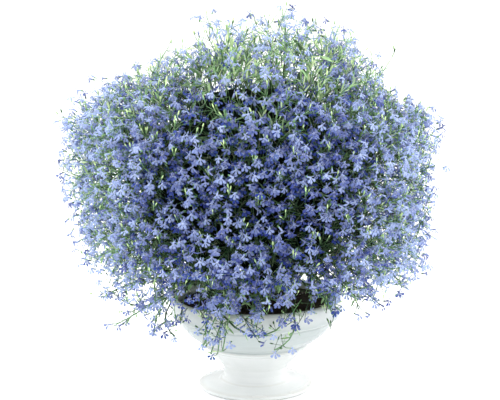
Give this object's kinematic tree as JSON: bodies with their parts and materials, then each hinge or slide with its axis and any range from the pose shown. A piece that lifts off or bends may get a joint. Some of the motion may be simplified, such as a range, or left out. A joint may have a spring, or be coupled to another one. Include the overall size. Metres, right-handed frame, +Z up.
{
  "type": "potted trailing lobelia",
  "caption": "Trailing lobelia in full flower: a broad mound of small lavender-blue florets spilling over a low white glazed pedestal bowl.",
  "frame": {"origin": "middle of the pot's foot, on the surface that it stands on", "axes": "+Z up along the pot's axis, -Y the front, where the fringe of flowers hangs lowest over the rim"},
  "size_m": [0.5028, 0.4897, 0.4897],
  "materials": {
    "pot": "glossy white glaze",
    "soil": "loose dark potting soil",
    "foliage": "soft green leaf and stem",
    "flower": "soft lavender-blue petal"
  },
  "bodies": {
    "root": {"pot": "pot", "soil": "soil", "leafy_stem_01": "foliage", "leafy_stem_02": "foliage", "leafy_stem_03": "foliage", "leafy_stem_04": "foliage", "leafy_stem_05": "foliage", "leafy_stem_06": "foliage", "leafy_stem_07": "foliage", "leafy_stem_08": "foliage", "leafy_stem_09": "foliage", "leafy_stem_10": "foliage", "leafy_stem_11": "foliage", "leafy_stem_12": "foliage", "leafy_stem_13": "foliage", "flower_spray_01": "flower", "flower_spray_02": "flower", "flower_spray_03": "flower", "flower_spray_04": "flower", "flower_spray_05": "flower", "flower_spray_06": "flower", "flower_spray_07": "flower", "flower_spray_08": "flower", "flower_spray_09": "flower", "flower_spray_10": "flower", "flower_spray_11": "flower", "flower_spray_12": "flower", "flower_spray_13": "flower", "flower_spray_14": "flower", "flower_spray_15": "flower", "flower_spray_16": "flower", "flower_spray_17": "flower", "flower_spray_18": "flower", "flower_spray_19": "flower", "flower_spray_20": "flower", "flower_spray_21": "flower", "flower_spray_22": "flower", "flower_spray_23": "flower", "flower_spray_24": "flower", "flower_spray_25": "flower", "flower_spray_26": "flower", "flower_spray_27": "flower", "flower_spray_28": "flower", "flower_spray_29": "flower", "flower_spray_30": "flower", "flower_spray_31": "flower", "flower_spray_32": "flower", "flower_spray_33": "flower", "flower_spray_34": "flower", "flower_spray_35": "flower", "flower_spray_36": "flower", "flower_spray_37": "flower", "flower_spray_38": "flower", "flower_spray_39": "flower", "flower_spray_40": "flower", "flower_spray_41": "flower", "flower_spray_42": "flower"}
  },
  "joints": []
}
